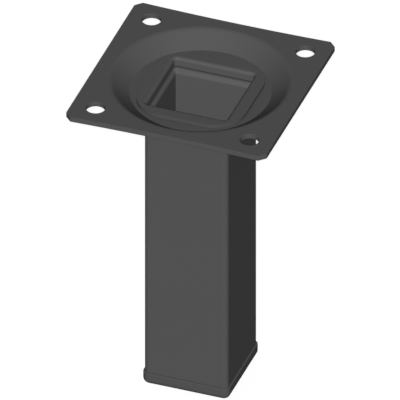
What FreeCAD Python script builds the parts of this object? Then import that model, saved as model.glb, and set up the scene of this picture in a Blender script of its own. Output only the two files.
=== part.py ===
import FreeCAD, Part
import math
import os

import Sketcher

# Square metal table leg: a dished mounting plate, a square tube and a moulded foot.
#
# The tube's top end passes through a square hole in the plate's dish. It is flared over the
# dish floor as a flat rim and swollen below the plate as a bead, and the plate is clinched
# between the two. The moulded foot is pushed into the tube's lower end.
#
# Millimetres, +Z up. The origin is on the floor, under the middle of the foot.

SIZES = (
    ("leg_height", 99.0, "floor to the top face of the plate"),
    # Mounting plate
    ("plate_side", 60.0, "side of the square plate"),
    ("plate_thickness", 1.5, "sheet of the plate"),
    ("corner_cut", 2.0, "cut off each corner, along each side"),
    ("edge_draw_in", 0.64, "how far two opposite sides were drawn in by pressing the dish"),
    ("edge_rounding", 0.25, "rolled edge round the plate's top"),
    ("screw_spacing", 46.0, "between screw holes, both ways"),
    ("screw_hole_diameter", 5.5, "plain screw holes"),
    ("dish_mouth_diameter", 50.8, "where the dish's cone would meet the top face"),
    ("dish_floor_diameter", 40.0, "where the dish's cone would meet its floor"),
    ("dish_depth", 4.0, "top face to the dish floor"),
    ("dish_mouth_bend", 1.0, "inside radius of the bend at the dish's mouth"),
    ("dish_floor_bend", 0.5, "inside radius of the bend at the dish floor"),
    # Leg tube
    ("tube_side", 25.0, "outside of the square tube"),
    ("tube_wall", 1.0, "wall of the tube, kept through the neck and the bead's flanks"),
    ("tube_corner_radius", 1.5, "outside corners of the tube"),
    ("neck_expansion", 0.5, "how far each side is spread where it passes the plate"),
    ("neck_clearance", 0.05, "gap left between the neck and the plate's square hole"),
    ("rim_side", 32.2, "across the flat sides of the flared rim"),
    ("rim_thickness", 0.9, "metal of the rim, thinned by the flaring"),
    ("rim_corner_radius", 9.3, "wide rounding of the rim's corners, which keeps them on the dish floor"),
    ("bead_reach", 1.0, "how far the bead stands out from the tube's side, measured inside"),
    ("bead_radius", 0.75, "inside radius at the crown of the bead"),
    ("bead_outside_radius", 1.3, "outside radius at the crown of the bead"),
    ("neck_lip_radius", 0.4, "inside rounding between neck and bead"),
    ("bead_foot_radius", 1.0, "rounding between bead and tube"),
    # Foot cap
    ("foot_height", 4.0, "head of the foot, below the tube's end"),
    ("foot_overhang", 0.5, "how far the head stands out past the tube's side"),
    ("foot_corner_radius", 2.0, "upright corners of the head"),
    ("foot_edge_radius", 1.9, "rounding round the underside"),
    ("foot_floor", 2.5, "solid floor of the head"),
    ("stem_side", 17.0, "outside of the hollow stem"),
    ("stem_wall", 1.8, "wall of the stem"),
    ("stem_length", 15.0, "stem above the head"),
    ("stem_corner_radius", 2.5, "upright corners of the stem"),
    ("stem_lead", 0.6, "chamfer round the stem's top"),
    ("fin_count", 3, "fins that grip the tube"),
    ("fin_thickness", 1.0, "each fin"),
    ("fin_spacing", 4.0, "from one fin to the next"),
    ("first_fin", 3.0, "underside of the lowest fin, above the head"),
    ("fin_clearance", 0.05, "gap left between fins and tube"),
)

# Lengths that several pieces share, as expressions of the sheet
TUBE_OUTER = "sizes.tube_side / 2"
TUBE_INNER = f"({TUBE_OUTER} - sizes.tube_wall)"
NECK_OUTER = f"({TUBE_OUTER} + sizes.neck_expansion)"
NECK_INNER = f"({NECK_OUTER} - sizes.tube_wall)"
PLATE_HOLE = f"({NECK_OUTER} + sizes.neck_clearance)"

document = FreeCAD.newDocument("square_table_leg")
sheet = document.addObject("Spreadsheet::Sheet", "sizes")


def fill_sheet():
    """Write each driving size into its own row: what it is, its value and its alias."""
    for row, (alias, number, meaning) in enumerate(SIZES, 1):
        sheet.set(f"A{row}", meaning)
        sheet.set(f"B{row}", str(number))
        sheet.setAlias(f"B{row}", alias)
    document.recompute()


def value(expression):
    """Present value of an expression of the sheet."""
    return float(sheet.evalExpression(expression))


def new_body(label, height):
    """Empty body of one piece, lifted to its place by an expression."""
    body = document.addObject("PartDesign::Body", label)
    body.Label = label
    body.setExpression("Placement.Base.z", height)
    return body


def new_sketch(body, name, role="XY_Plane", lift=None):
    """Sketch on one of the body's own planes, lifted along its normal by an expression."""
    sketch = body.newObject("Sketcher::SketchObject", name)
    plane = next(feature for feature in body.Origin.OriginFeatures if feature.Role == role)
    sketch.AttachmentSupport = [(plane, "")]
    sketch.MapMode = "FlatFace"
    if lift is not None:
        sketch.setExpression("AttachmentOffset.Base.z", lift)
    return sketch


def constrain(sketch, name, expression, *constraint):
    """Add one named dimension and bind it to the sheet."""
    index = sketch.addConstraint(Sketcher.Constraint(*constraint, value(expression)))
    sketch.renameConstraint(index, name)
    sketch.setExpression(f"Constraints.{name}", expression)


def place_point(sketch, name, geometry, position, across, up):
    """Dimension a point from the sketch's origin, both ways."""
    constrain(sketch, f"{name}_across", across, "DistanceX", geometry, position)
    constrain(sketch, f"{name}_up", up, "DistanceY", geometry, position)


def draw_circle(sketch, name, across, up, radius):
    """Circle round a point, all three sizes bound to the sheet."""
    centre = FreeCAD.Vector(value(across), value(up), 0)
    circle = Part.Circle(centre, FreeCAD.Vector(0, 0, 1), value(radius))
    geometry = sketch.addGeometry(circle, False)
    place_point(sketch, name, geometry, 3, across, up)
    constrain(sketch, f"{name}_radius", radius, "Radius", geometry)


def draw_outline(sketch, corners):
    """Closed outline through corners, each a name, how far across, how far up and a radius.

    The three sizes are expressions of the sheet. A corner whose radius is None stays sharp,
    and any other is rounded by an arc that is tangent to both sides, its sharp corner kept
    as a construction point for the dimensions.
    """
    count = len(corners)
    points = [FreeCAD.Vector(value(across), value(up), 0) for _, across, up, _ in corners]
    radii = [0.0 if radius is None else value(radius) for *_, radius in corners]
    arrivals = []
    departures = []
    centres = []
    for i, point in enumerate(points):
        back = (points[i - 1] - point).normalize()
        ahead = (points[(i + 1) % count] - point).normalize()
        half_angle = back.getAngle(ahead) / 2
        tangent_length = radii[i] / math.tan(half_angle)
        arrivals.append(point + back * tangent_length)
        departures.append(point + ahead * tangent_length)
        centres.append(point + (back + ahead).normalize() * (radii[i] / math.sin(half_angle)))
    sides = [
        sketch.addGeometry(Part.LineSegment(departures[i], arrivals[(i + 1) % count]), False)
        for i in range(count)
    ]
    for i, (name, across, up, radius) in enumerate(corners):
        before = sides[i - 1]
        after = sides[i]
        if radius is None:
            sketch.addConstraint(Sketcher.Constraint("Coincident", before, 2, after, 1))
            place_point(sketch, name, after, 1, across, up)
            continue
        arc, arc_first, arc_last = add_arc(sketch, centres[i], radii[i], arrivals[i], departures[i])
        sketch.addConstraint(Sketcher.Constraint("Tangent", before, 2, arc, arc_first))
        sketch.addConstraint(Sketcher.Constraint("Tangent", after, 1, arc, arc_last))
        constrain(sketch, f"{name}_radius", radius, "Radius", arc)
        mark = sketch.addGeometry(Part.Point(points[i]), True)
        sketch.addConstraint(Sketcher.Constraint("PointOnObject", mark, 1, before))
        sketch.addConstraint(Sketcher.Constraint("PointOnObject", mark, 1, after))
        place_point(sketch, name, mark, 1, across, up)


def add_arc(sketch, centre, radius, arrival, departure):
    """Short arc between two points, with the arc's own ends that lie at each of them."""
    turns_left = (arrival - centre).cross(departure - centre).z > 0
    first, last = (arrival, departure) if turns_left else (departure, arrival)
    start_angle = math.atan2(first.y - centre.y, first.x - centre.x)
    end_angle = math.atan2(last.y - centre.y, last.x - centre.x)
    if end_angle < start_angle:
        end_angle += 2 * math.pi
    circle = Part.Circle(centre, FreeCAD.Vector(0, 0, 1), radius)
    arc = sketch.addGeometry(Part.ArcOfCircle(circle, start_angle, end_angle), False)
    return (arc, 1, 2) if turns_left else (arc, 2, 1)


def square_corners(half_side, radius):
    """Corners of a centred square with rounded corners, for draw_outline."""
    return (
        ("right_back", half_side, half_side, radius),
        ("left_back", f"-({half_side})", half_side, radius),
        ("left_front", f"-({half_side})", f"-({half_side})", radius),
        ("right_front", half_side, f"-({half_side})", radius),
    )


def pad(body, name, sketch, length):
    """Raise a sketch by a length of the sheet."""
    feature = body.newObject("PartDesign::Pad", name)
    feature.Profile = sketch
    feature.setExpression("Length", length)
    return feature


def cut_through(body, name, sketch):
    """Cut a sketch all the way down through the body, and make sure that it removed metal."""
    before = body.Shape.Volume
    feature = body.newObject("PartDesign::Pocket", name)
    feature.Profile = sketch
    feature.Type = "ThroughAll"
    document.recompute()
    if not feature.Shape.Volume < before:
        raise RuntimeError(f"{name} cuts nothing")
    return feature


def edge_names(shape, wanted):
    """Names of the edges of a shape that a test picks."""
    return [f"Edge{i}" for i, edge in enumerate(shape.Edges, 1) if wanted(edge)]


def lies_flat_at(edge, height):
    """Whether the whole edge lies at one height."""
    box = edge.BoundBox
    return abs(box.ZMin - height) < 1e-6 and abs(box.ZMax - height) < 1e-6


def make_mounting_plate():
    """Square sheet with a pressed round dish, a square hole in its floor and four screw holes.

    Its own frame has z = 0 at the top face.
    """
    body = new_body("mounting_plate", "sizes.leg_height")
    mouth = "sizes.dish_mouth_diameter / 2"
    floor = "sizes.dish_floor_diameter / 2"
    sheet_metal = "sizes.plate_thickness"
    # On a sheet of even thickness the underside's corners lie this far further out
    under_shift = f"{sheet_metal} * tan(atan(sizes.dish_depth / ({mouth} - {floor})) / 2)"

    # The pressed sheet, still round, one diameter wider than the finished square needs
    section = new_sketch(body, "pressed_sheet_section", "XZ_Plane")
    draw_outline(section, (
        ("floor_middle", "0", "-sizes.dish_depth", None),
        ("floor_under_middle", "0", f"-(sizes.dish_depth + {sheet_metal})", None),
        ("floor_under", f"{floor} + {under_shift}", f"-(sizes.dish_depth + {sheet_metal})",
         f"sizes.dish_floor_bend + {sheet_metal}"),
        ("mouth_under", f"{mouth} + {under_shift}", f"-{sheet_metal}", "sizes.dish_mouth_bend"),
        ("sheet_under_edge", "sizes.plate_side", f"-{sheet_metal}", None),
        ("sheet_top_edge", "sizes.plate_side", "0", None),
        ("mouth", mouth, "0", f"sizes.dish_mouth_bend + {sheet_metal}"),
        ("floor", floor, "-sizes.dish_depth", "sizes.dish_floor_bend"),
    ))
    pressed = body.newObject("PartDesign::Revolution", "pressed_sheet")
    pressed.Profile = section
    pressed.ReferenceAxis = (section, ["V_Axis"])
    pressed.Angle = 360
    document.recompute()

    # Trimmed to a square with its corners cut off
    trim = new_sketch(body, "trim_outline")
    half = "sizes.plate_side / 2"
    cut_half = f"{half} - sizes.corner_cut"
    draw_outline(trim, (
        ("right_end_back", half, cut_half, None),
        ("back_end_right", cut_half, half, None),
        ("back_end_left", f"-({cut_half})", half, None),
        ("left_end_back", f"-({half})", cut_half, None),
        ("left_end_front", f"-({half})", f"-({cut_half})", None),
        ("front_end_left", f"-({cut_half})", f"-({half})", None),
        ("front_end_right", cut_half, f"-({half})", None),
        ("right_end_front", half, f"-({cut_half})", None),
    ))
    draw_circle(trim, "scrap", "0", "0", "sizes.plate_side * 1.1")
    cut_through(body, "trim", trim)

    # The front and back sides are drawn in a little: arcs through the corners of the square
    drawn_radius = "(sizes.plate_side ^ 2 / (8 * sizes.edge_draw_in) + sizes.edge_draw_in / 2)"
    drawn_side = new_sketch(body, "drawn_side_arc")
    draw_circle(drawn_side, "arc", "0", f"{half} - sizes.edge_draw_in + {drawn_radius}", drawn_radius)
    drawn = cut_through(body, "drawn_side", drawn_side)
    both_sides = body.newObject("PartDesign::Mirrored", "drawn_sides")
    both_sides.Originals = [drawn]
    both_sides.MirrorPlane = (drawn_side, ["H_Axis"])
    body.Tip = both_sides
    document.recompute()

    # Square hole that the tube's neck passes through
    neck_hole = new_sketch(body, "neck_hole_outline")
    hole_corner = "sizes.tube_corner_radius + sizes.neck_expansion + sizes.neck_clearance"
    draw_outline(neck_hole, square_corners(PLATE_HOLE, hole_corner))
    cut_through(body, "neck_hole", neck_hole)

    screw_hole = new_sketch(body, "screw_hole_circle")
    draw_circle(screw_hole, "hole", "sizes.screw_spacing / 2", "sizes.screw_spacing / 2",
                "sizes.screw_hole_diameter / 2")
    first_hole = cut_through(body, "screw_hole", screw_hole)
    four_holes = body.newObject("PartDesign::PolarPattern", "screw_holes")
    four_holes.Originals = [first_hole]
    four_holes.Axis = (screw_hole, ["N_Axis"])
    four_holes.Angle = 360
    four_holes.Occurrences = 4
    body.Tip = four_holes
    document.recompute()

    # Rolled edge round the top, from the press tool
    top_face = next(face for face in four_holes.Shape.Faces if lies_flat_at(face, 0.0))
    rim_edges = top_face.OuterWire.Edges
    rounding = body.newObject("PartDesign::Fillet", "rolled_edge")
    rounding.Base = (four_holes, edge_names(
        four_holes.Shape, lambda edge: any(edge.isSame(rim_edge) for rim_edge in rim_edges)
    ))
    rounding.setExpression("Radius", "sizes.edge_rounding")
    body.Tip = rounding
    return body


def make_leg_tube():
    """Square tube whose wall is formed into a bead, a neck and a flared rim.

    One section of the wall is swept round the square. Its own frame has z = 0 at the
    underside of the rim, which lies on the dish floor.
    """
    body = new_body("leg_tube", "sizes.leg_height - sizes.dish_depth")
    wall = "sizes.tube_wall"
    below_plate = "-sizes.plate_thickness"
    lower_end = "-(sizes.leg_height - sizes.dish_depth - sizes.foot_height)"
    # The tube's end is flared wider than the rim needs and trimmed to the rim's outline
    flare_edge = f"sizes.rim_side / 2 + {wall}"

    # The bead's flanks stand at 45 degrees, so across and down are equal along them
    bead_inner = f"({TUBE_INNER} + sizes.bead_reach + (sqrt(2) - 1) * sizes.bead_radius)"
    bead_outer = f"({bead_inner} + sqrt(2) * {wall})"
    bead_height = f"({below_plate} - ({bead_outer} - {NECK_OUTER}))"

    # Neither crown takes more than its upper flank leaves
    inside_flank = f"sqrt(2) * ({bead_inner} - {NECK_INNER}) - 0.45 * sizes.neck_lip_radius"
    outside_flank = f"0.95 * sqrt(2) * ({bead_outer} - {NECK_OUTER})"
    inside_crown = f"min(sizes.bead_radius; {inside_flank})"
    outside_crown = f"min(sizes.bead_outside_radius; {outside_flank})"

    path = new_sketch(body, "wall_path")
    draw_outline(path, square_corners(TUBE_INNER, f"sizes.tube_corner_radius - {wall}"))
    section = new_sketch(body, "wall_section", "XZ_Plane")
    draw_outline(section, (
        ("flare_top", flare_edge, "sizes.rim_thickness", None),
        ("neck_mouth", NECK_INNER, "sizes.rim_thickness", wall),
        ("neck_lip", NECK_INNER, f"{bead_height} + ({bead_inner} - {NECK_INNER})",
         "sizes.neck_lip_radius"),
        ("bead_inside", bead_inner, bead_height, inside_crown),
        ("bead_foot_inside", TUBE_INNER, f"{bead_height} - ({bead_inner} - {TUBE_INNER})",
         "sizes.bead_foot_radius"),
        ("end_inside", TUBE_INNER, lower_end, None),
        ("end_outside", TUBE_OUTER, lower_end, None),
        ("bead_foot_outside", TUBE_OUTER, f"{bead_height} - ({bead_outer} - {TUBE_OUTER})",
         "sizes.bead_foot_radius"),
        ("bead_outside", bead_outer, bead_height, outside_crown),
        ("neck_foot", NECK_OUTER, below_plate, None),
        ("neck_top", NECK_OUTER, "0", None),
        ("flare_underside", flare_edge, "0", None),
    ))
    formed = body.newObject("PartDesign::AdditivePipe", "formed_wall")
    formed.Profile = section
    formed.Spine = (path, [])
    formed.Mode = "Standard"
    document.recompute()

    trim = new_sketch(body, "rim_outline", lift="sizes.rim_thickness")
    draw_outline(trim, square_corners("sizes.rim_side / 2", "sizes.rim_corner_radius"))
    draw_circle(trim, "scrap", "0", "0", "sizes.rim_side")
    before = formed.Shape.Volume
    trimmed = body.newObject("PartDesign::Pocket", "rim_trim")
    trimmed.Profile = trim
    trimmed.setExpression("Length", "sizes.rim_thickness")
    document.recompute()
    if not trimmed.Shape.Volume < before:
        raise RuntimeError("rim_trim cuts nothing")
    return body


def make_foot_cap():
    """Moulded foot: a rounded head under the tube's end and a hollow finned stem inside it.

    Its own frame has z = 0 on the floor.
    """
    body = new_body("foot_cap", "0")
    head = new_sketch(body, "head_outline")
    draw_outline(head, square_corners(f"{TUBE_OUTER} + sizes.foot_overhang", "sizes.foot_corner_radius"))
    head_pad = pad(body, "head", head, "sizes.foot_height")
    document.recompute()
    rounding = body.newObject("PartDesign::Fillet", "head_underside_rounding")
    rounding.Base = (head_pad, edge_names(head_pad.Shape, lambda edge: lies_flat_at(edge, 0.0)))
    rounding.setExpression("Radius", "min(sizes.foot_edge_radius; 0.95 * sizes.foot_corner_radius)")
    body.Tip = rounding
    document.recompute()

    stem = new_sketch(body, "stem_outline", lift="sizes.foot_height")
    draw_outline(stem, square_corners("sizes.stem_side / 2", "sizes.stem_corner_radius"))
    stem_pad = pad(body, "stem", stem, "sizes.stem_length")
    document.recompute()
    stem_top = value("sizes.foot_height + sizes.stem_length")
    lead = body.newObject("PartDesign::Chamfer", "stem_lead")
    lead.Base = (stem_pad, edge_names(stem_pad.Shape, lambda edge: lies_flat_at(edge, stem_top)))
    lead.setExpression("Size", "sizes.stem_lead")
    body.Tip = lead
    document.recompute()

    fin = new_sketch(body, "fin_outline", lift="sizes.foot_height + sizes.first_fin")
    fin_corner = "sizes.tube_corner_radius - sizes.tube_wall"
    draw_outline(fin, square_corners(f"{TUBE_INNER} - sizes.fin_clearance", fin_corner))
    first_fin = pad(body, "fin", fin, "sizes.fin_thickness")
    fins = body.newObject("PartDesign::LinearPattern", "fins")
    fins.Originals = [first_fin]
    fins.Direction = (fin, ["N_Axis"])
    fins.setExpression("Length", "sizes.fin_spacing * (sizes.fin_count - 1)")
    fins.setExpression("Occurrences", "sizes.fin_count")
    body.Tip = fins
    document.recompute()

    # The stem is hollow down to the head's floor
    core = new_sketch(body, "core_outline", lift="sizes.foot_height + sizes.stem_length")
    core_corner = "sizes.stem_corner_radius - sizes.stem_wall"
    draw_outline(core, square_corners("sizes.stem_side / 2 - sizes.stem_wall", core_corner))
    before = fins.Shape.Volume
    hollow = body.newObject("PartDesign::Pocket", "core")
    hollow.Profile = core
    hollow.setExpression("Length", "sizes.foot_height + sizes.stem_length - sizes.foot_floor")
    document.recompute()
    if not hollow.Shape.Volume < before:
        raise RuntimeError("core cuts nothing")
    return body


def check_document(pieces):
    """Stop if a feature failed, a sketch isn't held by its dimensions or a piece isn't one solid."""
    for item in document.Objects:
        if "Invalid" in item.State or "Error" in item.State:
            raise RuntimeError(f"{item.Name} failed: {item.State}")
        if item.TypeId == "Sketcher::SketchObject" and not item.FullyConstrained:
            raise RuntimeError(f"{item.Name} isn't fully constrained")
    for piece in pieces:
        if piece.Shape.isNull() or not piece.Shape.isValid() or len(piece.Shape.Solids) != 1:
            raise RuntimeError(f"{piece.Label} isn't one valid solid")


def main():
    """Build the three pieces, check them and write each to its own file."""
    fill_sheet()
    pieces = (make_mounting_plate(), make_leg_tube(), make_foot_cap())
    document.recompute()
    check_document(pieces)
    os.makedirs("parts", exist_ok=True)
    for piece in pieces:
        piece.Shape.exportStep(f"parts/{piece.Label}.step")
        box = piece.Shape.BoundBox
        print(f"{piece.Label}: {piece.Shape.Volume:.1f} mm3, {len(piece.Shape.Faces)} faces, "
              f"z {box.ZMin:.2f} to {box.ZMax:.2f}, {box.XLength:.2f} x {box.YLength:.2f}")


main()
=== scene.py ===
import logging
import math
from collections.abc import Iterable, Sequence
from dataclasses import dataclass, field
from enum import Enum

import bmesh
import bpy
from mathutils import Matrix, Vector


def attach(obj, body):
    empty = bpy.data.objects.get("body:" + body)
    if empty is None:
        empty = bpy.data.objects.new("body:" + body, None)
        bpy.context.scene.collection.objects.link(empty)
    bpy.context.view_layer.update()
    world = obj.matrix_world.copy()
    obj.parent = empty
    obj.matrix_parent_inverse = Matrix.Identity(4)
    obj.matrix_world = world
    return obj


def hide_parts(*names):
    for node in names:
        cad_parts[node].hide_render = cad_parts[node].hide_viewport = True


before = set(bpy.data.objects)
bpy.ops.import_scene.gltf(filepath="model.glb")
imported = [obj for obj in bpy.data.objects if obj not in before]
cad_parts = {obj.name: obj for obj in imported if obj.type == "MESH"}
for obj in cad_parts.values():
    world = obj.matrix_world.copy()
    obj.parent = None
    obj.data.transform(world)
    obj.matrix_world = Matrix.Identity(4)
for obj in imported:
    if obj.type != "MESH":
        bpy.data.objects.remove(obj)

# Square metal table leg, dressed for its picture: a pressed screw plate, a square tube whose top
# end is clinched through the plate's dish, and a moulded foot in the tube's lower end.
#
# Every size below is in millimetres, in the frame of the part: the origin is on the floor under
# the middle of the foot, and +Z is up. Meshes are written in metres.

LOG = logging.getLogger("table_leg")

MM = 0.001
BODY = "root"

# Widest turn from one facet to the next, round a bend
BEND_STEP = math.radians(9.0)
FEWEST_FACETS = 3
# Narrow strip left beside every bend, which keeps the shading of the flat next to it flat
GUARD = 0.06
# The most of a short straight that one guard strip may take
GUARD_SHARE = 0.4
# Points nearer than this are one point
WELD = 0.001
# Passes that bring the meeting of a slanted line and an arc to rest
SETTLE_PASSES = 6
# How nodes are laid out in their editor
NODE_ACROSS = 190
NODE_DOWN = 180
NODE_ROWS = 3


class Slot(Enum):
    """Names of the finish slots."""

    PLATE = "plate_steel"
    TUBE = "tube_steel"
    FOOT = "foot_plastic"


@dataclass(frozen=True)
class Bend:
    """Corner of a section line: how far out and up it lies, and the radius that rounds it.

    On a piece that is swept round a square, centre is how far from the axis the upright
    corner of that ring has its centre.
    """

    out: float
    up: float
    radius: float = 0.0
    centre: float = 0.0


@dataclass(frozen=True)
class Station:
    """Point of a plan outline, with the direction in which the metal ends there."""

    place: Vector
    facing: Vector


def follow_bends(bends: Sequence[Bend], closed: bool) -> list[Bend]:
    """Replace each rounded corner of a section line by points along its arc.

    Args:
        bends: corners of the line, in order.
        closed: whether the last corner joins the first.

    Returns:
        Points of the line, with a guard point on the straight at each end of every arc.
    """
    count = len(bends)
    corners = [Vector((bend.out, bend.up)) for bend in bends]
    reaches = [0.0] * count
    for i in range(0 if closed else 1, count if closed else count - 1):
        back = corners[i - 1] - corners[i]
        ahead = corners[(i + 1) % count] - corners[i]
        reaches[i] = bends[i].radius / math.tan(back.angle(ahead) / 2)
    points = []
    for i, bend in enumerate(bends):
        if reaches[i] == 0.0:
            points.append(bend)
            continue
        back = corners[i - 1] - corners[i]
        ahead = corners[(i + 1) % count] - corners[i]
        spare_back = back.length - reaches[i] - reaches[i - 1]
        spare_ahead = ahead.length - reaches[i] - reaches[(i + 1) % count]
        back.normalize()
        ahead.normalize()
        half_angle = back.angle(ahead) / 2
        middle = corners[i] + (back + ahead).normalized() * (bend.radius / math.sin(half_angle))
        arm = corners[i] + back * reaches[i] - middle
        turn = arm.angle_signed(corners[i] + ahead * reaches[i] - middle)
        steps = max(FEWEST_FACETS, math.ceil(abs(turn) / BEND_STEP))
        line = [corners[i] + back * (reaches[i] + min(GUARD, spare_back * GUARD_SHARE))]
        line += [middle + Matrix.Rotation(-turn * k / steps, 2) @ arm for k in range(steps + 1)]
        line.append(corners[i] + ahead * (reaches[i] + min(GUARD, spare_ahead * GUARD_SHARE)))
        points += [Bend(point.x, point.y, bend.radius, bend.centre) for point in line]
    return points


def round_circle(radius: float, count: int, centre: Sequence[float] = (0.0, 0.0)) -> list[Station]:
    """Stations round a circle, counter-clockwise, facing away from its centre.

    Args:
        radius: radius of the circle.
        count: number of stations.
        centre: middle of the circle.

    Returns:
        The stations, the first of them on the +X side.
    """
    stations = []
    for k in range(count):
        angle = 2 * math.pi * k / count
        facing = Vector((math.cos(angle), math.sin(angle)))
        stations.append(Station(Vector(centre) + facing * radius, facing))
    return stations


def round_corner(corner: Vector, arriving: Vector, leaving: Vector, radius: float,
                 steps: int) -> list[Station]:
    """Stations round one outer corner of an outline.

    Args:
        corner: the sharp corner.
        arriving: facing of the side that ends there.
        leaving: facing of the side that starts there.
        radius: rounding radius.
        steps: facets of the rounding.

    Returns:
        Stations from the first side's facing to the second's.
    """
    turn = arriving.angle_signed(leaving)
    inward = (arriving + leaving).normalized()
    middle = corner - inward * (radius / math.cos(turn / 2))
    stations = []
    for k in range(steps + 1):
        facing = Matrix.Rotation(-turn * k / steps, 2) @ arriving
        stations.append(Station(middle + facing * radius, facing))
    return stations


def along_side(start: Station, end: Station) -> list[Station]:
    """Guard stations just inside both ends of a straight side."""
    run = (end.place - start.place).normalized() * GUARD
    return [Station(start.place + run, start.facing), Station(end.place - run, end.facing)]


def rounded_square(half_side: float, radius: float, steps: int = 8) -> list[Station]:
    """Stations round a centred square with rounded corners, facing outward.

    Args:
        half_side: from the axis to each side.
        radius: upright corners.
        steps: facets of each corner.

    Returns:
        The stations, counter-clockwise.
    """
    stations = []
    facings = [Vector((1, 0)), Vector((0, 1)), Vector((-1, 0)), Vector((0, -1))]
    corners = [
        round_corner((here + after) * half_side, here, after, radius, steps)
        for here, after in zip(facings, facings[1:] + facings[:1])
    ]
    for corner, following in zip(corners, corners[1:] + corners[:1]):
        stations += corner + along_side(corner[-1], following[0])
    return stations


def add_ring(bm: bmesh.types.BMesh, stations: Iterable[Station], inset: float,
             height: float) -> list[bmesh.types.BMVert]:
    """Add one closed ring of vertices, drawn back into the metal by an inset.

    Args:
        bm: mesh that takes the ring.
        stations: outline that the ring follows.
        inset: how far back from the outline.
        height: height of the ring.

    Returns:
        The ring's vertices.
    """
    return [
        bm.verts.new(Vector((*(station.place - station.facing * inset), height)) * MM)
        for station in stations
    ]


def join_rings(bm: bmesh.types.BMesh, rings: Sequence[Sequence[bmesh.types.BMVert]]) -> None:
    """Fill between each ring and the next with quads.

    Args:
        bm: mesh that holds the rings.
        rings: rings with the same number of vertices, in order.
    """
    for upper, lower in zip(rings, rings[1:]):
        for k, vertex in enumerate(upper):
            bm.faces.new((upper[k - 1], lower[k - 1], lower[k], vertex))


def ring_edges(bm: bmesh.types.BMesh,
               ring: Sequence[bmesh.types.BMVert]) -> list[bmesh.types.BMEdge]:
    """Edges round a ring, made where they are missing.

    Args:
        bm: mesh that holds the ring.
        ring: vertices of the ring.

    Returns:
        One edge for each vertex.
    """
    edges = []
    for k, vertex in enumerate(ring):
        edge = bm.edges.get((ring[k - 1], vertex))
        edges.append(edge or bm.edges.new((ring[k - 1], vertex)))
    return edges


def fill_web(bm: bmesh.types.BMesh, rings: Iterable[Sequence[bmesh.types.BMVert]]) -> None:
    """Fill the flat between an outer ring and the rings inside it.

    Args:
        bm: mesh that holds the rings.
        rings: the rings that bound the flat.
    """
    edges = [edge for ring in rings for edge in ring_edges(bm, ring)]
    bmesh.ops.triangle_fill(bm, edges=edges, use_beauty=True)


def new_object(name: str, bm: bmesh.types.BMesh) -> bpy.types.Object:
    """Turn a finished bmesh into an object at the origin.

    Args:
        name: name of the object and of its mesh.
        bm: the mesh, which is freed.

    Returns:
        The object, linked to the scene.
    """
    mesh = bpy.data.meshes.new(name)
    bm.to_mesh(mesh)
    bm.free()
    holder = bpy.data.objects.new(name, mesh)
    bpy.context.scene.collection.objects.link(holder)
    return holder


def point_line(name: str, points: Sequence[dict[str, Sequence[float]]],
               closed: bool) -> bpy.types.Object:
    """Polyline whose points carry named vectors, for a node tree to read.

    Args:
        name: name of the object.
        points: for each point, its vectors by name.
        closed: whether the last point joins the first.

    Returns:
        The polyline, its points spread along the X axis or round a circle.
    """
    count = len(points)
    mesh = bpy.data.meshes.new(name)
    turn = 2 * math.pi / count
    places = [(math.cos(k * turn) * MM, math.sin(k * turn) * MM, 0.0) for k in range(count)]
    edges = [(k, (k + 1) % count) for k in range(count if closed else count - 1)]
    mesh.from_pydata(places, edges, [])
    for label in points[0]:
        attribute = mesh.attributes.new(label, "FLOAT_VECTOR", "POINT")
        numbers = [number for point in points for number in point[label]]
        attribute.data.foreach_set("vector", numbers)
    line = bpy.data.objects.new(name, mesh)
    bpy.context.scene.collection.objects.link(line)
    return line


class Wiring:
    """Adds nodes to one tree, each placed to the right of the last, and links them."""

    def __init__(self, tree: bpy.types.NodeTree) -> None:
        """Start wiring a tree."""
        self.tree = tree
        self.column = 0

    def add(self, kind: str, settings: dict[str, object] | None = None,
            inputs: dict[str | int, object] | None = None) -> bpy.types.Node:
        """Add one node.

        Args:
            kind: type of the node.
            settings: properties of the node.
            inputs: for sockets by name or number, the socket to link or the value to hold.

        Returns:
            The new node.
        """
        node = self.tree.nodes.new(kind)
        node.location = (self.column * NODE_ACROSS, -NODE_DOWN * (self.column % NODE_ROWS))
        self.column += 1
        for key, setting in (settings or {}).items():
            setattr(node, key, setting)
        for key, source in (inputs or {}).items():
            if isinstance(source, bpy.types.NodeSocket):
                self.tree.links.new(source, node.inputs[key])
            else:
                node.inputs[key].default_value = source
        return node

    def math(self, operation: str, *operands: object) -> bpy.types.NodeSocket:
        """Result of a Math node."""
        node = self.add("ShaderNodeMath", {"operation": operation}, dict(enumerate(operands)))
        return node.outputs[0]

    def vector_math(self, operation: str, inputs: dict[str | int, object]) -> bpy.types.Node:
        """Vector Math node."""
        return self.add("ShaderNodeVectorMath", {"operation": operation}, inputs)

    def named_vector(self, label: str) -> bpy.types.NodeSocket:
        """Vector attribute of the geometry, by its name."""
        settings = {"data_type": "FLOAT_VECTOR"}
        return self.add("GeometryNodeInputNamedAttribute", settings, {"Name": label}).outputs[0]


def new_tree(name: str, kind: str, inputs: dict[str, str],
             outputs: dict[str, str]) -> bpy.types.NodeTree:
    """Empty node group with its sockets.

    Args:
        name: name of the group.
        kind: type of tree.
        inputs: socket types by name.
        outputs: socket types by name.

    Returns:
        The group.
    """
    tree = bpy.data.node_groups.new(name, kind)
    for direction, sockets in (("INPUT", inputs), ("OUTPUT", outputs)):
        for label, socket_type in sockets.items():
            tree.interface.new_socket(label, in_out=direction, socket_type=socket_type)
    return tree


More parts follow.
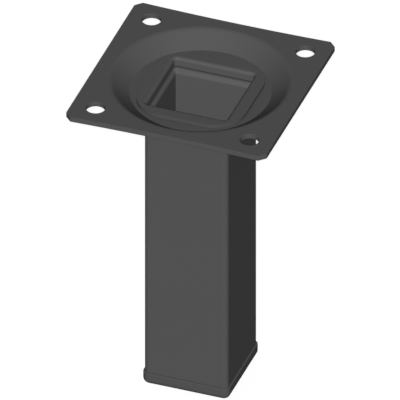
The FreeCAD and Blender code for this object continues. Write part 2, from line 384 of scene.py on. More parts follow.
def square_sweep_tree() -> bpy.types.NodeTree:
    """Tree that sweeps a section round a square, each ring with its own upright corners.

    The host is the closed path, whose points carry corner_share and facing. The section's
    points carry ring: how far out, how far up and the ring's corner centre.

    Returns:
        The tree.
    """
    tree = new_tree("Square sweep", "GeometryNodeTree", {
        "Geometry": "NodeSocketGeometry",
        "Section": "NodeSocketObject",
        "Material": "NodeSocketMaterial",
    }, {"Geometry": "NodeSocketGeometry"})
    wiring = Wiring(tree)
    given = wiring.add("NodeGroupInput").outputs
    path = wiring.add("GeometryNodeMeshToCurve", None, {"Mesh": given["Geometry"]})
    section = wiring.add("GeometryNodeObjectInfo", None, {"Object": given["Section"]})
    profile = wiring.add("GeometryNodeMeshToCurve", None, {"Mesh": section.outputs["Geometry"]})
    swept = wiring.add("GeometryNodeCurveToMesh", None, {
        "Curve": path.outputs["Curve"],
        "Profile Curve": profile.outputs["Curve"],
    })

    # Each ring is a square of corner centres, grown outward by what is left of its half side
    ring = wiring.add("ShaderNodeSeparateXYZ", None, {0: wiring.named_vector("ring")}).outputs
    out, up, centre = ring["X"], ring["Y"], ring["Z"]
    inner = wiring.vector_math("SCALE", {0: wiring.named_vector("corner_share"), "Scale": centre})
    growth = wiring.vector_math("SCALE", {
        0: wiring.named_vector("facing"),
        "Scale": wiring.math("SUBTRACT", out, centre),
    })
    plan = wiring.vector_math("ADD", {0: inner.outputs[0], 1: growth.outputs[0]}).outputs[0]
    lift = wiring.add("ShaderNodeCombineXYZ", None, {"Z": up}).outputs[0]
    place = wiring.vector_math("ADD", {0: plan, 1: lift}).outputs[0]

    formed = wiring.add("GeometryNodeSetPosition", None, {
        "Geometry": swept.outputs[0],
        "Position": place,
    })
    merged = wiring.add("GeometryNodeMergeByDistance", None, {
        "Geometry": formed.outputs[0],
        "Distance": WELD * MM,
    })
    finish_tree(wiring, merged.outputs[0], given["Material"])
    return tree


def punched_holes_tree() -> bpy.types.NodeTree:
    """Tree that sets one hole's rolled wall into each window of a sheet.

    Returns:
        The tree. The host is the sheet, with an open window above and below at each corner
        of a square.
    """
    tree = new_tree("Punched holes", "GeometryNodeTree", {
        "Geometry": "NodeSocketGeometry",
        "Hole": "NodeSocketObject",
        "Spacing": "NodeSocketFloat",
        "Material": "NodeSocketMaterial",
    }, {"Geometry": "NodeSocketGeometry"})
    wiring = Wiring(tree)
    given = wiring.add("NodeGroupInput").outputs
    corners = wiring.add("GeometryNodeMeshGrid", None, {
        "Size X": given["Spacing"],
        "Size Y": given["Spacing"],
        "Vertices X": 2,
        "Vertices Y": 2,
    })
    hole = wiring.add("GeometryNodeObjectInfo", None, {"Object": given["Hole"]})
    holes = wiring.add("GeometryNodeInstanceOnPoints", None, {
        "Points": corners.outputs["Mesh"],
        "Instance": hole.outputs["Geometry"],
    })
    real = wiring.add("GeometryNodeRealizeInstances", None, {"Geometry": holes.outputs[0]})
    joined = wiring.add("GeometryNodeJoinGeometry")
    tree.links.new(real.outputs[0], joined.inputs[0])
    tree.links.new(given["Geometry"], joined.inputs[0])
    merged = wiring.add("GeometryNodeMergeByDistance", None, {
        "Geometry": joined.outputs[0],
        "Distance": WELD * MM,
    })
    finish_tree(wiring, merged.outputs[0], given["Material"])
    return tree


def finish_tree(wiring: Wiring, shape: bpy.types.NodeSocket,
                material: bpy.types.NodeSocket) -> None:
    """End a geometry tree: smooth shading, real geometry and the finish.

    Args:
        wiring: the tree's wiring.
        shape: the finished shape.
        material: the tree's material input.
    """
    smooth = wiring.add("GeometryNodeSetShadeSmooth", None, {0: shape})
    real = wiring.add("GeometryNodeRealizeInstances", None, {"Geometry": smooth.outputs[0]})
    dressed = wiring.add("GeometryNodeSetMaterial", None, {
        "Geometry": real.outputs[0],
        "Material": material,
    })
    wiring.add("NodeGroupOutput", None, {"Geometry": dressed.outputs[0]})


def grow(host: bpy.types.Object, tree: bpy.types.NodeTree,
         values: dict[str, object]) -> bpy.types.Object:
    """Run a geometry tree on its host and keep the result as a plain mesh.

    Args:
        host: object that the tree starts from. It is given the result.
        tree: the tree.
        values: the tree's inputs, by name.

    Returns:
        The host, without a modifier. Objects among the values are removed.
    """
    modifier = host.modifiers.new(tree.name, "NODES")
    modifier.node_group = tree
    sockets = {
        item.name: item.identifier
        for item in tree.interface.items_tree
        if item.in_out == "INPUT"
    }
    for label, given in values.items():
        modifier[sockets[label]] = given
    bpy.context.view_layer.update()
    evaluated = host.evaluated_get(bpy.context.evaluated_depsgraph_get())
    mesh = bpy.data.meshes.new_from_object(evaluated)
    host.modifiers.remove(modifier)
    starting_mesh = host.data
    host.data = mesh
    mesh.name = host.name
    bpy.data.meshes.remove(starting_mesh)
    for label in [attribute.name for attribute in mesh.attributes]:
        if label in ("corner_share", "facing", "ring"):
            mesh.attributes.remove(mesh.attributes[label])
    for helper in values.values():
        if isinstance(helper, bpy.types.Object):
            bpy.data.meshes.remove(helper.data)
    turn_outward(mesh)
    return host


def turn_outward(mesh: bpy.types.Mesh) -> None:
    """Point the faces of a closed mesh outward.

    Args:
        mesh: the mesh. It stops the script if the mesh isn't closed.
    """
    bm = bmesh.new()
    bm.from_mesh(mesh)
    bmesh.ops.recalc_face_normals(bm, faces=bm.faces)
    if any(not edge.is_manifold for edge in bm.edges):
        raise RuntimeError(f"{mesh.name} isn't closed")
    bm.to_mesh(mesh)
    bm.free()


def sweep_path(reach: float, corner_steps: int) -> list[dict[str, Sequence[float]]]:
    """Points of the path round a square, for the sweep.

    Args:
        reach: about how far the upright corners lie from the axis, for the guard points.
        corner_steps: facets of each upright corner.

    Returns:
        For each point its corner_share and facing, counter-clockwise.
    """
    guard_share = 1 - GUARD / reach
    quarter = [((1.0, share), (1.0, 0.0)) for share in (-guard_share, guard_share)]
    for k in range(corner_steps + 1):
        angle = math.pi / 2 * k / corner_steps
        quarter.append(((1.0, 1.0), (math.cos(angle), math.sin(angle))))
    points = []
    for turn in range(4):
        rotation = Matrix.Rotation(math.pi / 2 * turn, 2)
        for corner, facing in quarter:
            points.append({
                "corner_share": (*(rotation @ Vector(corner)), 0.0),
                "facing": (*(rotation @ Vector(facing)), 0.0),
            })
    return points


def section_points(bends: Sequence[Bend]) -> list[dict[str, Sequence[float]]]:
    """Points of a section for the sweep, in metres."""
    return [{"ring": (bend.out * MM, bend.up * MM, bend.centre * MM)} for bend in bends]


@dataclass(frozen=True)
class Grain:
    """Fine relief of a surface: the size of its cells and how deep they are, in millimetres."""

    cell: float
    depth: float
    fine_cell: float
    fine_share: float


class FinishKit:
    """Shader groups that all the finishes use."""

    def __init__(self) -> None:
        """Build each group once."""
        self.grain_group = self._grain_group()
        self.drift_group = self._drift_group()

    def _grain_group(self) -> bpy.types.NodeTree:
        """Group for relief: soft cells with a finer grain over them.

        Returns:
            The group.
        """
        tree = new_tree("Surface grain", "ShaderNodeTree", {
            "Vector": "NodeSocketVector",
            "Cells per Metre": "NodeSocketFloat",
            "Fine Cells per Metre": "NodeSocketFloat",
            "Fine Share": "NodeSocketFloat",
        }, {"Height": "NodeSocketFloat"})
        wiring = Wiring(tree)
        given = wiring.add("NodeGroupInput").outputs
        broad = wiring.add("ShaderNodeTexNoise", None, {
            "Vector": given["Vector"],
            "Scale": given["Cells per Metre"],
            "Detail": 1.0,
        })
        fine = wiring.add("ShaderNodeTexNoise", None, {
            "Vector": given["Vector"],
            "Scale": given["Fine Cells per Metre"],
            "Detail": 2.0,
        })
        height = wiring.add("ShaderNodeMix", {"data_type": "FLOAT"}, {
            "Factor": given["Fine Share"],
            "A": broad.outputs[0],
            "B": fine.outputs[0],
        })
        wiring.add("NodeGroupOutput", None, {"Height": height.outputs[0]})
        return tree

    def _drift_group(self) -> bpy.types.NodeTree:
        """Group for the slight drift of tone and gloss over a finish.

        Returns:
            The group.
        """
        tree = new_tree("Tone drift", "ShaderNodeTree", {
            "Vector": "NodeSocketVector",
            "Patches per Metre": "NodeSocketFloat",
            "Colour": "NodeSocketColor",
            "Colour Drift": "NodeSocketFloat",
            "Roughness": "NodeSocketFloat",
            "Roughness Drift": "NodeSocketFloat",
        }, {"Colour": "NodeSocketColor", "Roughness": "NodeSocketFloat"})
        wiring = Wiring(tree)
        given = wiring.add("NodeGroupInput").outputs
        patches = wiring.add("ShaderNodeTexNoise", None, {
            "Vector": given["Vector"],
            "Scale": given["Patches per Metre"],
            "Detail": 3.0,
        }).outputs[0]
        swing = wiring.math("MULTIPLY_ADD", patches, 2.0, -1.0)
        gain = wiring.math("MULTIPLY_ADD", swing, given["Colour Drift"], 1.0)
        colour = wiring.vector_math("SCALE", {0: given["Colour"], "Scale": gain})
        roughness = wiring.math("MULTIPLY_ADD", swing, given["Roughness Drift"], given["Roughness"])
        wiring.add("NodeGroupOutput", None, {"Colour": colour.outputs[0], "Roughness": roughness})
        return tree


@dataclass(frozen=True)
class Finish:
    """Matt dark finish: its tone, its gloss and its grain.

    Its gloss is that of a small share of metal fleck, the same at every angle.
    """

    name: str
    tone: float
    grain: Grain
    roughness: float = 0.5
    specular: float = 0.0
    fleck: float = 0.07
    fleck_edge: float = 0.0
    tone_drift: float = 0.03
    roughness_drift: float = 0.04
    patch: float = 22.0

    def material(self, kit: FinishKit) -> bpy.types.Material:
        """Build the finish as a node material.

        Args:
            kit: shader groups to use.

        Returns:
            The material.
        """
        material = bpy.data.materials.new(self.name)
        material.use_nodes = True
        material.node_tree.nodes.clear()
        wiring = Wiring(material.node_tree)
        place = wiring.add("ShaderNodeTexCoord").outputs["Object"]
        tone = wiring.add("ShaderNodeGroup", {"node_tree": kit.drift_group}, {
            "Vector": place,
            "Patches per Metre": 1 / (self.patch * MM),
            "Colour": (self.tone, self.tone, self.tone, 1.0),
            "Colour Drift": self.tone_drift,
            "Roughness": self.roughness,
            "Roughness Drift": self.roughness_drift,
        })
        grain = wiring.add("ShaderNodeGroup", {"node_tree": kit.grain_group}, {
            "Vector": place,
            "Cells per Metre": 1 / (self.grain.cell * MM),
            "Fine Cells per Metre": 1 / (self.grain.fine_cell * MM),
            "Fine Share": self.grain.fine_share,
        })
        relief = wiring.add("ShaderNodeBump", None, {
            "Strength": 1.0,
            "Distance": self.grain.depth * MM,
            "Height": grain.outputs["Height"],
        })
        surface = wiring.add("ShaderNodeBsdfPrincipled", None, {
            "Base Color": self.coat_and_painted_light(wiring, place, tone.outputs["Colour"]),
            "Roughness": tone.outputs["Roughness"],
            "Metallic": self.fleck,
            "Specular IOR Level": self.specular,
            "Specular Tint": (self.fleck_edge, self.fleck_edge, self.fleck_edge, 1.0),
            "Normal": relief.outputs["Normal"],
        })
        wiring.add("ShaderNodeOutputMaterial", None, {"Surface": surface.outputs[0]})
        return material

    def coat_and_painted_light(self, wiring: Wiring, place: bpy.types.NodeSocket,
                    colour: bpy.types.NodeSocket) -> bpy.types.NodeSocket:
        """Colour of the finish, here the same coat everywhere, with no painted light.

        Args:
            wiring: wiring of the material; not used here.
            place: Object coordinates; not used here.
            colour: colour with its drift.

        Returns:
            The colour for the shader.
        """
        return colour


@dataclass(frozen=True)
class TubeFinishWithPaintedLight(Finish):
    """Coat with painted light inside a square tube: the inside of the wall is made paler, to lift
    the shade that falls in the tube's hollow.

    Inside and outside are told apart by how far a point lies out of the square of the upright
    corners' centres, which is half_square from the axis.
    """

    half_square: float = 11.0
    # Painted light: up to the first distance past the square the colour is scaled by the gain, and
    # by the second distance it fades to none
    painted_light_within: float = 1.2
    painted_light_fades_by: float = 1.45
    gain: float = 1.13

    def coat_and_painted_light(self, wiring: Wiring, place: bpy.types.NodeSocket,
                    colour: bpy.types.NodeSocket) -> bpy.types.NodeSocket:
        """Colour of the coat, with painted light that makes the inside of the wall paler, lifting
        the shade in the hollow.

        Args:
            wiring: wiring of the material.
            place: Object coordinates.
            colour: colour with its drift.

        Returns:
            The colour for the shader.
        """
        plan = wiring.vector_math("MULTIPLY", {0: place, 1: (1.0, 1.0, 0.0)}).outputs[0]
        reach = wiring.vector_math("ABSOLUTE", {0: plan}).outputs[0]
        square = (self.half_square * MM, self.half_square * MM, 0.0)
        past = wiring.vector_math("SUBTRACT", {0: reach, 1: square}).outputs[0]
        outside = wiring.vector_math("MAXIMUM", {0: past, 1: (0.0, 0.0, 0.0)}).outputs[0]
        # Painted light: the inside of the wall is scaled paler, to lift the shade that falls in the
        # tube's hollow
        gain = wiring.add("ShaderNodeMapRange", None, {
            "Value": wiring.vector_math("LENGTH", {0: outside}).outputs["Value"],
            "From Min": self.painted_light_within * MM,
            "From Max": self.painted_light_fades_by * MM,
            "To Min": self.gain,
            "To Max": 1.0,
        }).outputs[0]
        return wiring.vector_math("SCALE", {0: colour, "Scale": gain}).outputs[0]


POWDER_COAT = Grain(cell=0.55, depth=0.05, fine_cell=0.18, fine_share=0.3)
MOULD_TEXTURE = Grain(cell=0.28, depth=0.035, fine_cell=0.12, fine_share=0.4)


@dataclass
class MountingPlate:
    """Pressed square sheet with a round dish, a square hole in its floor and four screw holes."""

    top: float = 99.0
    side: float = 60.0
    thickness: float = 1.5
    corner_cut: float = 2.0
    edge_draw_in: float = 0.64
    corner_radius: float = 0.4
    rolled_edge: float = 0.08
    sheared_edge: float = 0.05
    screw_spacing: float = 46.0
    screw_hole_diameter: float = 5.5
    screw_hole_edge: float = 0.12
    mouth_diameter: float = 50.8
    floor_diameter: float = 40.0
    depth: float = 4.0
    mouth_bend: float = 1.0
    floor_bend: float = 0.5
    neck_hole_half: float = 13.05
    neck_hole_corner: float = 2.05
    web_margin: float = 1.2
    corner_facets: int = 4
    side_steps: int = 9
    hole_facets: int = 56
    dish_facets: int = 144
    finish: Finish = field(default_factory=lambda: Finish(
        name="plate_powder_coat", tone=0.097, grain=POWDER_COAT,
    ))

    def build(self, kit: FinishKit, holes_tree: bpy.types.NodeTree) -> bpy.types.Object:
        """Build and dress the plate.

        Args:
            kit: shader groups for the finish.
            holes_tree: tree that sets the screw holes.

        Returns:
            The finished piece.
        """
        sheet = new_object("screw_plate", self._sheet())
        hole = new_object("screw_hole_wall", self._screw_hole_wall())
        piece = grow(sheet, holes_tree, {
            "Hole": hole,
            "Spacing": self.screw_spacing * MM,
            "Material": self.finish.material(kit),
        })
        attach(piece, BODY)
        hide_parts("mounting_plate")
        return piece

    def _outline(self) -> list[Station]:
        """Outline of the sheet: two straight sides, two drawn in a little, and four cut corners.

        Returns:
            The stations, counter-clockwise.
        """
        half = self.side / 2
        sag = self.edge_draw_in
        radius = half**2 / (2 * sag) + sag / 2
        middle = Vector((0.0, half - sag + radius))
        slant = Vector((1.0, 1.0)).normalized()
        # Where the cut corner's line meets the drawn side
        along = half - self.corner_cut
        for _ in range(SETTLE_PASSES):
            drawn = middle.y - math.sqrt(radius**2 - along**2)
            along = 2 * half - self.corner_cut - drawn
        meeting = Vector((along, drawn))
        drawn_facing = (middle - meeting).normalized()
        side_facing = Vector((1.0, 0.0))
        lower = Vector((half, half - self.corner_cut))
        first = round_corner(lower, side_facing, slant, self.corner_radius, self.corner_facets)
        second = round_corner(meeting, slant, drawn_facing, self.corner_radius, self.corner_facets)
        quarter = first + along_side(first[-1], second[0]) + second
        run = second[-1].place.x - GUARD
        for k in range(self.side_steps):
            across = run * (1 - k / self.side_steps)
            place = Vector((across, middle.y - math.sqrt(radius**2 - across**2)))
            quarter.append(Station(place, (middle - place).normalized()))
        centre_line = Station(Vector((0.0, half - sag)), Vector((0.0, 1.0)))
        mirrored = [
            Station(Vector((-s.place.x, s.place.y)), Vector((-s.facing.x, s.facing.y)))
            for s in reversed(quarter)
        ]
        back_half = quarter + [centre_line] + mirrored
        front_half = [Station(-station.place, -station.facing) for station in back_half]
        stations = back_half + along_side(back_half[-1], front_half[0])
        return stations + front_half + along_side(front_half[-1], back_half[0])

    def _edge_line(self, upper_radius: float, lower_radius: float, top: float) -> list[Bend]:
        """Line down a cut edge of the sheet, as inset and height.

        Args:
            upper_radius: rounding at the top.
            lower_radius: rounding at the underside.
            top: height of the sheet's top face there.

        Returns:
            Points from the flat above to the flat below.
        """
        bottom = top - self.thickness
        return follow_bends((
            Bend(upper_radius + 2 * GUARD, top),
            Bend(0.0, top, upper_radius),
            Bend(0.0, bottom, lower_radius),
            Bend(lower_radius + 2 * GUARD, bottom),
        ), closed=False)

    def _screw_hole_wall(self) -> bmesh.types.BMesh:
        """Wall of one screw hole round the axis, with its edges rounded.

        Returns:
            The mesh, open above and below.
        """
        bm = bmesh.new()
        stations = self._screw_hole_stations()
        line = self._edge_line(self.screw_hole_edge, self.sheared_edge, self.top)
        join_rings(bm, [add_ring(bm, stations, point.out, point.up) for point in line])
        return bm

    def _screw_hole_stations(self, centre: Sequence[float] = (0.0, 0.0)) -> list[Station]:
        """Stations round a screw hole, facing into the hole."""
        circle = round_circle(self.screw_hole_diameter / 2, self.hole_facets, centre)
        return [Station(station.place, -station.facing) for station in circle]

    def _sheet(self) -> bmesh.types.BMesh:
        """The sheet with its dish, edge and neck hole, and a window for each screw hole.

        Returns:
            The mesh, open only at the windows.
        """
        bm = bmesh.new()
        outline = self._outline()
        edge = [
            add_ring(bm, outline, point.out, point.up)
            for point in self._edge_line(self.rolled_edge, self.sheared_edge, self.top)
        ]
        join_rings(bm, edge)
        square = rounded_square(self.neck_hole_half, self.neck_hole_corner)
        neck_hole = [Station(station.place, -station.facing) for station in square]
        floor = self.top - self.depth
        neck = [
            add_ring(bm, neck_hole, point.out, point.up)
            for point in self._edge_line(self.sheared_edge, self.sheared_edge, floor)
        ]
        join_rings(bm, neck)

        mouth = self.mouth_diameter / 2
        flat = self.floor_diameter / 2
        slope = math.atan2(self.depth, mouth - flat)
        under_shift = self.thickness * math.tan(slope / 2)
        top_line = follow_bends((
            Bend(mouth + self.web_margin, self.top),
            Bend(mouth, self.top, self.mouth_bend + self.thickness),
            Bend(flat, floor, self.floor_bend),
            Bend(flat - self.web_margin, floor),
        ), closed=False)
        under_line = follow_bends((
            Bend(mouth + under_shift + self.web_margin, self.top - self.thickness),
            Bend(mouth + under_shift, self.top - self.thickness, self.mouth_bend),
            Bend(flat + under_shift, floor - self.thickness, self.floor_bend + self.thickness),
            Bend(flat + under_shift - self.web_margin, floor - self.thickness),
        ), closed=False)
        circle = round_circle(0.0, self.dish_facets)
        dish = [
            [add_ring(bm, circle, -point.out, point.up) for point in line]
            for line in (top_line, under_line)
        ]
        half = self.screw_spacing / 2
        centres = [(half, half), (-half, half), (-half, -half), (half, -half)]
        faces = (
            (0, self.screw_hole_edge, self.top),
            (-1, self.sheared_edge, self.top - self.thickness),
        )
        for (end, rounding, height), rings in zip(faces, dish):
            join_rings(bm, rings)
            windows = [
                add_ring(bm, self._screw_hole_stations(centre), rounding + 2 * GUARD, height)
                for centre in centres
            ]
            fill_web(bm, [edge[end], rings[0], *windows])
            fill_web(bm, [rings[-1], neck[end]])
        return bm


@dataclass
class LegTube:
    """Square tube whose wall is formed into a bead, a neck and a flared rim at its top."""

    lower_end: float = 4.0
    rim_underside: float = 95.0
    plate_underside: float = 93.5
    side: float = 25.0
    wall: float = 1.0
    corner_radius: float = 1.5
    neck_expansion: float = 0.5
    rim_side: float = 32.2
    rim_thickness: float = 0.9
    rim_corner_radius: float = 9.3
    rim_edge: float = 0.04
    bead_reach: float = 1.0
    bead_radius: float = 0.75
    bead_outside_radius: float = 1.3
    neck_lip_radius: float = 0.4
    bead_foot_radius: float = 1.0
    cut_end_edge: float = 0.05
    corner_facets: int = 16
    # The tube's finish paints light into the inside of the wall, making it paler than the outside
    finish: Finish = field(default_factory=lambda: TubeFinishWithPaintedLight(
        name="tube_powder_coat", tone=0.097, grain=POWDER_COAT,
    ))

    def build(self, kit: FinishKit, sweep_tree: bpy.types.NodeTree) -> bpy.types.Object:
        """Build and dress the tube.

        Args:
            kit: shader groups for the finish.
            sweep_tree: tree that sweeps a section round a square.

        Returns:
            The finished piece.
        """
        section = point_line("wall_section", section_points(self._wall_section()), closed=True)
        plan = sweep_path(self.corner_centre, self.corner_facets)
        path = point_line("square_tube", plan, closed=True)
        piece = grow(path, sweep_tree, {
            "Section": section,
            "Material": self.finish.material(kit),
        })
        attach(piece, BODY)
        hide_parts("leg_tube")
        return piece

    @property
    def corner_centre(self) -> float:
        """How far from the axis the upright corners have their centre."""
        return self.side / 2 - self.corner_radius

    def _wall_section(self) -> list[Bend]:
        """Closed section of the wall, down its inside and up its outside.

        Returns:
            Points of the section.
        """
        tube_outer = self.side / 2
        tube_inner = tube_outer - self.wall
        neck_outer = tube_outer + self.neck_expansion
        neck_inner = neck_outer - self.wall
        rim_top = self.rim_underside + self.rim_thickness
        rim = self.rim_side / 2
        # The bead's flanks stand at 45 degrees, so across and down are equal along them
        bead_inner = tube_inner + self.bead_reach + (math.sqrt(2) - 1) * self.bead_radius
        bead_outer = bead_inner + math.sqrt(2) * self.wall
        bead_height = self.plate_underside - (bead_outer - neck_outer)
        lip_height = bead_height + bead_inner - neck_inner
        inner_foot_height = bead_height - bead_inner + tube_inner
        outer_foot_height = bead_height - bead_outer + tube_outer
        centre = self.corner_centre
        wide_centre = rim - self.rim_corner_radius
        return follow_bends((
            Bend(rim, rim_top, self.rim_edge, wide_centre),
            Bend(neck_inner, rim_top, self.wall, centre),
            Bend(neck_inner, lip_height, self.neck_lip_radius, centre),
            Bend(bead_inner, bead_height, self.bead_radius, centre),
            Bend(tube_inner, inner_foot_height, self.bead_foot_radius, centre),
            Bend(tube_inner, self.lower_end, self.cut_end_edge, centre),
            Bend(tube_outer, self.lower_end, self.cut_end_edge, centre),
            Bend(tube_outer, outer_foot_height, self.bead_foot_radius, centre),
            Bend(bead_outer, bead_height, self.bead_outside_radius, centre),
            Bend(neck_outer, self.plate_underside, 0.0, centre),
            Bend(neck_outer, self.rim_underside, 0.0, centre),
            Bend(rim, self.rim_underside, self.rim_edge, wide_centre),
        ), closed=True)


@dataclass
class FootCap:
    """Moulded foot: a rounded head under the tube's end, and a hollow finned stem inside it."""

    height: float = 4.0
    half_side: float = 13.0
    corner_radius: float = 2.0
    underside_radius: float = 1.9
    top_edge: float = 0.22
    stem_half: float = 8.5
    stem_corner: float = 2.5
    stem_wall: float = 1.8
    stem_length: float = 15.0
    stem_lead: float = 0.6
    floor: float = 2.5
    fin_half: float = 11.45
    fin_corner: float = 0.5
    fin_thickness: float = 1.0
    fin_spacing: float = 4.0
    first_fin: float = 3.0
    fin_count: int = 3
    small_edge: float = 0.15
    corner_facets: int = 8
    finish: Finish = field(default_factory=lambda: Finish(
        name="foot_moulded_plastic", tone=0.092, grain=MOULD_TEXTURE,
    ))

    def build(self, kit: FinishKit, sweep_tree: bpy.types.NodeTree) -> bpy.types.Object:
        """Build and dress the foot.

        Args:
            kit: shader groups for the finish.
            sweep_tree: tree that sweeps a section round a square.

        Returns:
            The finished piece.
        """
        section = point_line("moulding_section", section_points(self._section()), closed=False)
        plan = sweep_path(self.half_side, self.corner_facets)
        path = point_line("moulded_foot", plan, closed=True)
        piece = grow(path, sweep_tree, {
            "Section": section,
            "Material": self.finish.material(kit),
        })
        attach(piece, BODY)
        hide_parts("foot_cap")
        return piece

    def _section(self) -> list[Bend]:
        """Open section from the middle of the underside, up the outside and down the hollow.

        Returns:
            Points of the section.
        """
        head_centre = self.half_side - self.corner_radius
        stem_centre = self.stem_half - self.stem_corner
        fin_centre = self.fin_half - self.fin_corner
        core = self.stem_half - self.stem_wall
        stem_top = self.height + self.stem_length
        edge = self.small_edge
        bends = [
            Bend(0.0, 0.0),
            Bend(self.half_side, 0.0, self.underside_radius, head_centre),
            Bend(self.half_side, self.height, self.top_edge, head_centre),
            Bend(self.stem_half, self.height, edge, stem_centre),
        ]
        for k in range(self.fin_count):
            under = self.height + self.first_fin + k * self.fin_spacing
            over = under + self.fin_thickness
            bends += [
                Bend(self.stem_half, under, edge, stem_centre),
                Bend(self.fin_half, under, edge, fin_centre),
                Bend(self.fin_half, over, edge, fin_centre),
                Bend(self.stem_half, over, edge, stem_centre),
            ]
        bends += [
            Bend(self.stem_half, stem_top - self.stem_lead, edge, stem_centre),
            Bend(self.stem_half - self.stem_lead, stem_top, edge, stem_centre),
            Bend(core, stem_top, edge, stem_centre),
            Bend(core, self.floor, edge, stem_centre),
            Bend(0.0, self.floor),
        ]
        return follow_bends(bends, closed=False)


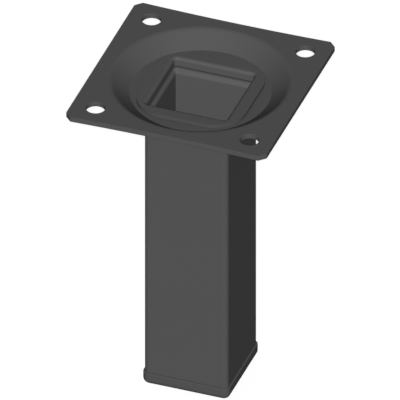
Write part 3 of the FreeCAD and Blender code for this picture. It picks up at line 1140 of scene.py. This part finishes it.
@dataclass(frozen=True)
class Studio:
    """White floor and surround, a soft light behind the camera and a low panel behind the leg."""

    azimuth: float = 20.0
    elevation: float = 35.0
    target: tuple[float, float, float] = (-0.132, -0.048, 57.68)
    frame_width: float = 112.42
    distance: float = 800.0
    nearest: float = 10.0
    farthest: float = 20000.0
    key_strength: float = 1.0
    key_softness: float = 0.8
    panel_azimuth: float = 215.0
    panel_distance: float = 400.0
    panel_width: float = 400.0
    panel_height: float = 70.0
    panel_middle: float = 52.0
    panel_strength: float = 0.5
    surround: float = 0.08
    floor_tone: float = 0.35
    floor_bounce: float = 0.12
    floor_half_side: float = 4000.0
    floor_gap: float = 0.02

    def build(self) -> None:
        """Set up the camera, the lights, the surround and the floor."""
        self._camera()
        self._key()
        self._panel()
        self._surround()
        self._floor()
        bpy.context.scene.view_settings.view_transform = "Standard"

    def _toward(self, azimuth: float, elevation: float) -> Vector:
        """Direction from the leg toward a place.

        Args:
            azimuth: turn of the place from the leg's front, in degrees.
            elevation: rise of the place, in degrees.

        Returns:
            The direction, as a unit vector.
        """
        turn = math.radians(azimuth)
        rise = math.radians(elevation)
        level = math.cos(rise)
        return Vector((math.sin(turn) * level, -math.cos(turn) * level, math.sin(rise)))

    def _camera(self) -> None:
        """Orthographic camera at the photograph's angle and scale."""
        data = bpy.data.cameras.new("camera")
        data.type = "ORTHO"
        data.ortho_scale = self.frame_width * MM
        data.clip_start = self.nearest * MM
        data.clip_end = self.farthest * MM
        camera = bpy.data.objects.new("camera", data)
        toward = self._toward(self.azimuth, self.elevation)
        camera.location = (Vector(self.target) + toward * self.distance) * MM
        camera.rotation_euler = toward.to_track_quat("Z", "Y").to_euler()
        bpy.context.scene.collection.objects.link(camera)
        bpy.context.scene.camera = camera

    def _key(self) -> None:
        """Distant light from the camera's side; at strength 1 it shows a colour as written."""
        data = bpy.data.lights.new("key_light", "SUN")
        data.energy = math.pi * self.key_strength
        data.angle = math.radians(self.key_softness)
        light = bpy.data.objects.new("key_light", data)
        toward = self._toward(self.azimuth, self.elevation)
        light.location = toward * self.distance * MM
        light.rotation_euler = toward.to_track_quat("Z", "Y").to_euler()
        bpy.context.scene.collection.objects.link(light)

    def _panel(self) -> None:
        """Low soft panel behind the leg, wholly below the plate, for the sides the key misses."""
        width = self.panel_width * MM
        height = self.panel_height * MM
        distance = self.panel_distance * MM
        data = bpy.data.lights.new("back_panel", "AREA")
        data.shape = "RECTANGLE"
        data.size = width
        data.size_y = height
        # The power at which a surface that faces it from the leg renders at the strength
        data.energy = self.panel_strength * math.pi**2 * distance**2
        panel = bpy.data.objects.new("back_panel", data)
        toward = self._toward(self.panel_azimuth, 0.0)
        panel.location = toward * distance + Vector((0.0, 0.0, self.panel_middle * MM))
        panel.rotation_euler = toward.to_track_quat("Z", "Y").to_euler()
        panel.visible_camera = False
        bpy.context.scene.collection.objects.link(panel)

    def _seen_share(self, wiring: Wiring) -> bpy.types.NodeSocket:
        """Whether a ray shows the background, from the camera, off a gloss or through glass.

        Args:
            wiring: wiring of the world or of a material.

        Returns:
            1 for such a ray, and 0 for light on the object.
        """
        path = wiring.add("ShaderNodeLightPath").outputs
        shown = wiring.math("MAXIMUM", path["Is Camera Ray"], path["Is Glossy Ray"])
        return wiring.math("MAXIMUM", shown, path["Is Transmission Ray"])

    def _surround(self) -> None:
        """World: white where it shows, and a little even light."""
        world = bpy.data.worlds.new("surround")
        world.use_nodes = True
        world.node_tree.nodes.clear()
        wiring = Wiring(world.node_tree)
        seen = self._seen_share(wiring)
        strength = wiring.math("MULTIPLY_ADD", seen, 1.0 - self.surround, self.surround)
        background = wiring.add("ShaderNodeBackground", None, {
            "Color": (1.0, 1.0, 1.0, 1.0),
            "Strength": strength,
        })
        wiring.add("ShaderNodeOutputWorld", None, {"Surface": background.outputs[0]})
        bpy.context.scene.world = world

    def _floor(self) -> None:
        """Plain one-sided floor that shows white and keeps the leg's shadow."""
        bm = bmesh.new()
        half = self.floor_half_side * MM
        level = -self.floor_gap * MM
        corners = ((-half, -half), (half, -half), (half, half), (-half, half))
        bm.faces.new([bm.verts.new((x, y, level)) for x, y in corners])
        floor = new_object("floor", bm)
        material = bpy.data.materials.new("floor_paper")
        material.use_nodes = True
        material.node_tree.nodes.clear()
        wiring = Wiring(material.node_tree)
        seen = self._seen_share(wiring)
        lift = self.floor_tone - self.floor_bounce
        tone = wiring.math("MULTIPLY_ADD", seen, lift, self.floor_bounce)
        matt = wiring.add("ShaderNodeBsdfDiffuse", None, {"Color": tone})
        lit = math.sin(math.radians(self.elevation)) * self.key_strength + self.surround
        glow = wiring.add("ShaderNodeEmission", None, {
            "Color": (1.0, 1.0, 1.0, 1.0),
            "Strength": wiring.math("MULTIPLY", seen, 1.0 - self.floor_tone * lit),
        })
        paper = wiring.add("ShaderNodeAddShader", None, {0: matt.outputs[0], 1: glow.outputs[0]})
        # Looked at from below, the floor is clear, so that the foot's underside can be seen
        one_sided = wiring.add("ShaderNodeMixShader", None, {
            0: wiring.add("ShaderNodeNewGeometry").outputs["Backfacing"],
            1: paper.outputs[0],
            2: wiring.add("ShaderNodeBsdfTransparent").outputs[0],
        })
        wiring.add("ShaderNodeOutputMaterial", None, {"Surface": one_sided.outputs[0]})
        floor.data.materials.append(material)


def main() -> None:
    """Build the three pieces and the studio."""
    logging.basicConfig(level=logging.INFO, format="%(name)s: %(message)s")
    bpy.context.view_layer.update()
    kit = FinishKit()
    sweep_tree = square_sweep_tree()
    pieces = (
        MountingPlate().build(kit, punched_holes_tree()),
        LegTube().build(kit, sweep_tree),
        FootCap().build(kit, sweep_tree),
    )
    for piece in pieces:
        LOG.info("%s: %d faces", piece.name, len(piece.data.polygons))
    Studio().build()


if __name__ == "__main__":
    main()
